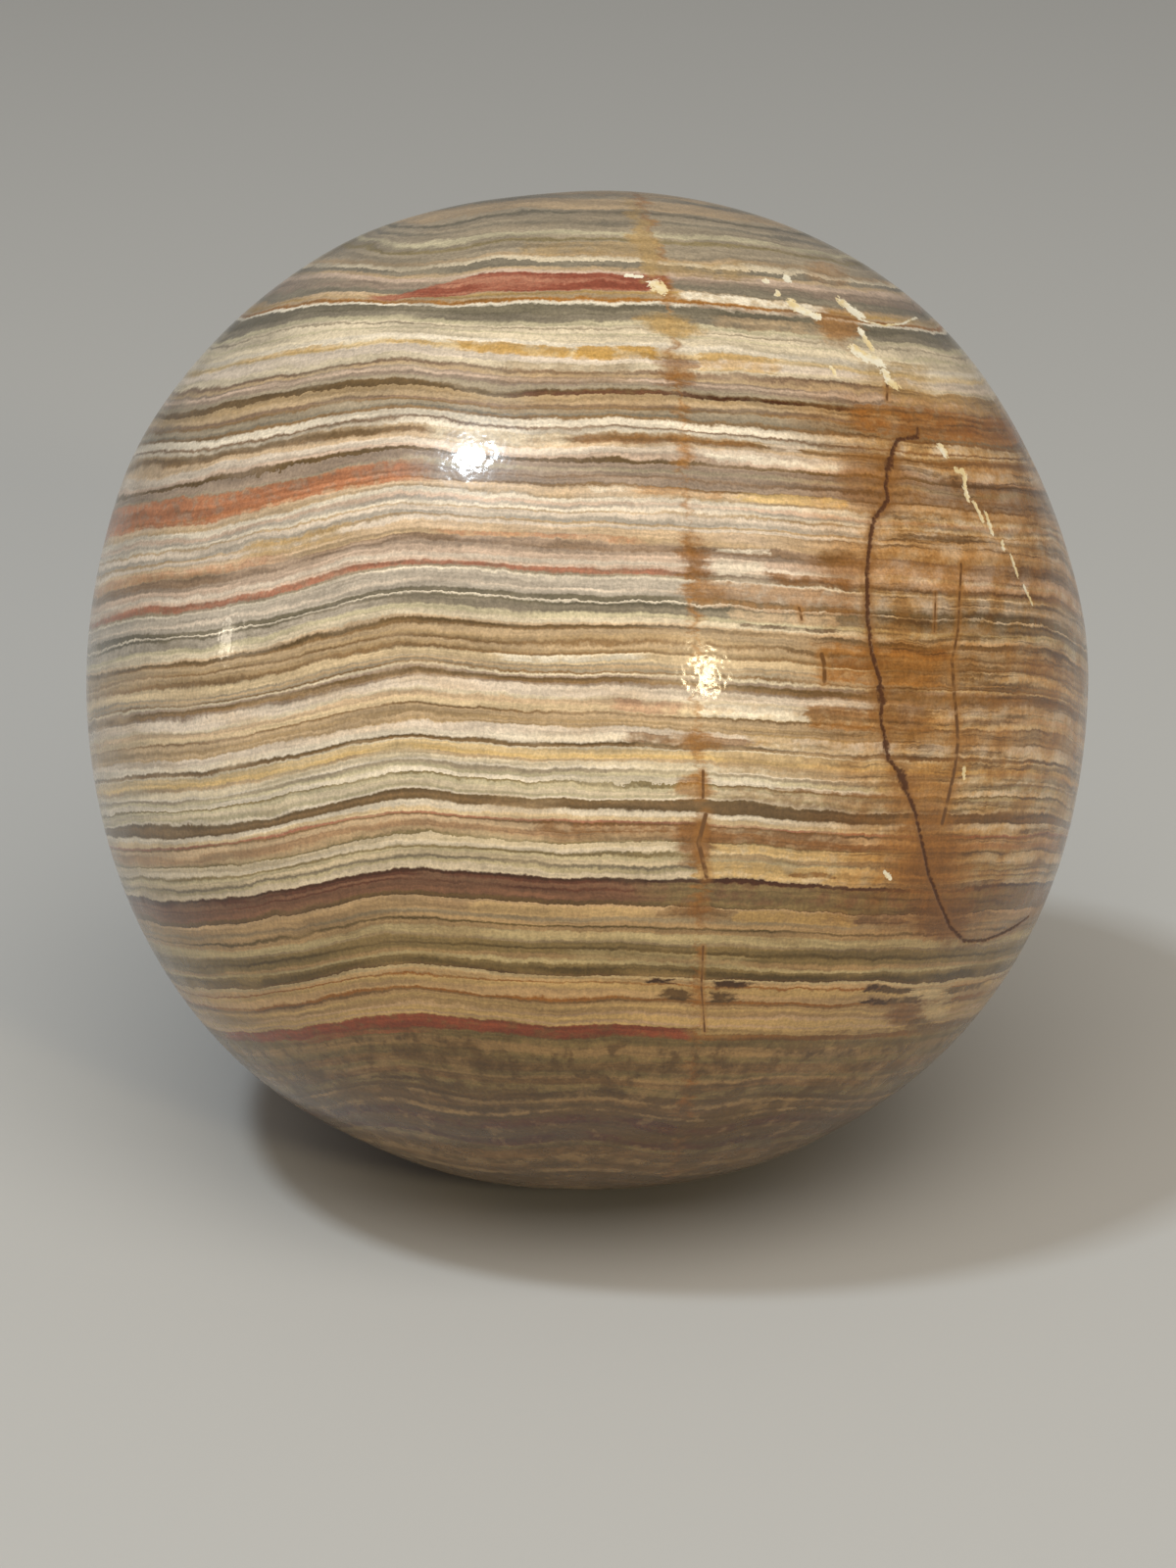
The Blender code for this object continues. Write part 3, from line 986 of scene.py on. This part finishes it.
def make_floor():
    """A wide, plain, pale floor."""
    bpy.ops.mesh.primitive_plane_add(size=8.0, location=(0.0, 0.0, 0.0))
    floor = bpy.context.object
    floor.name = "floor"
    material = bpy.data.materials.new("floor")
    material.use_nodes = True
    shader = material.node_tree.nodes["Principled BSDF"]
    shader.inputs["Base Color"].default_value = (0.52, 0.505, 0.48, 1.0)
    shader.inputs["Roughness"].default_value = 0.8
    floor.data.materials.append(material)


def add_light(name, centre, direction, distance, width, height, power, colour):
    """An area light that looks at the ball's centre."""
    light = bpy.data.lights.new(name, "AREA")
    light.shape = "RECTANGLE"
    light.size = width
    light.size_y = height
    light.energy = power
    light.color = colour
    lamp = bpy.data.objects.new(name, light)
    toward = Vector(direction).normalized()
    lamp.location = centre + toward * distance
    lamp.rotation_euler = toward.to_track_quat("Z", "Y").to_euler()
    bpy.context.scene.collection.objects.link(lamp)
    return lamp


def light_scene(centre):
    """A high window to the left, a warm lamp in front and soft fill all round."""
    add_light("window", centre, (-0.35, -0.33, 0.87), 1.1, 0.12, 0.10, 4.2, (0.78, 0.90, 1.0))
    add_light("lamp", centre, (0.386, -0.863, 0.32), 1.1, 0.08, 0.11, 2.2, (1.0, 0.83, 0.52))
    add_light("glow", centre, (-0.988, -0.055, 0.16), 1.1, 0.07, 0.10, 0.4, (1.0, 0.88, 0.68))
    fill = add_light("fill", centre, (0.08, -0.62, 0.78), 1.4, 1.2, 1.0, 13.5, (1.0, 0.96, 0.88))
    fill.visible_glossy = False
    world = bpy.data.worlds.new("studio")
    world.use_nodes = True
    background = world.node_tree.nodes["Background"]
    background.inputs["Color"].default_value = (1.0, 0.98, 0.95, 1.0)
    background.inputs["Strength"].default_value = 0.18
    bpy.context.scene.world = world
    bpy.context.scene.view_settings.view_transform = "Standard"


def add_camera(centre):
    """The photo's view: slightly from above, with the ball above the middle."""
    data = bpy.data.cameras.new("camera")
    data.sensor_width = FILM
    data.lens = FOCAL_PIXELS / PHOTO_HEIGHT * FILM
    camera = bpy.data.objects.new("camera", data)
    turn = Euler((math.pi / 2.0 - CAMERA_DROP, 0.0, 0.0))
    ball_ray = Vector((
        (BALL_IN_PHOTO[0] - PHOTO_WIDTH / 2.0) / FOCAL_PIXELS,
        (PHOTO_HEIGHT / 2.0 - BALL_IN_PHOTO[1]) / FOCAL_PIXELS,
        -1.0,
    )).normalized()
    camera.rotation_euler = turn
    camera.location = centre - turn.to_matrix() @ ball_ray * CAMERA_DISTANCE
    bpy.context.scene.collection.objects.link(camera)
    bpy.context.scene.camera = camera


ball, ball_centre = make_ball()
ball.data.materials.append(onyx_material(ball_centre))
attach(ball, "root")
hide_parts("onyx_sphere")
make_floor()
light_scene(ball_centre)
add_camera(ball_centre)
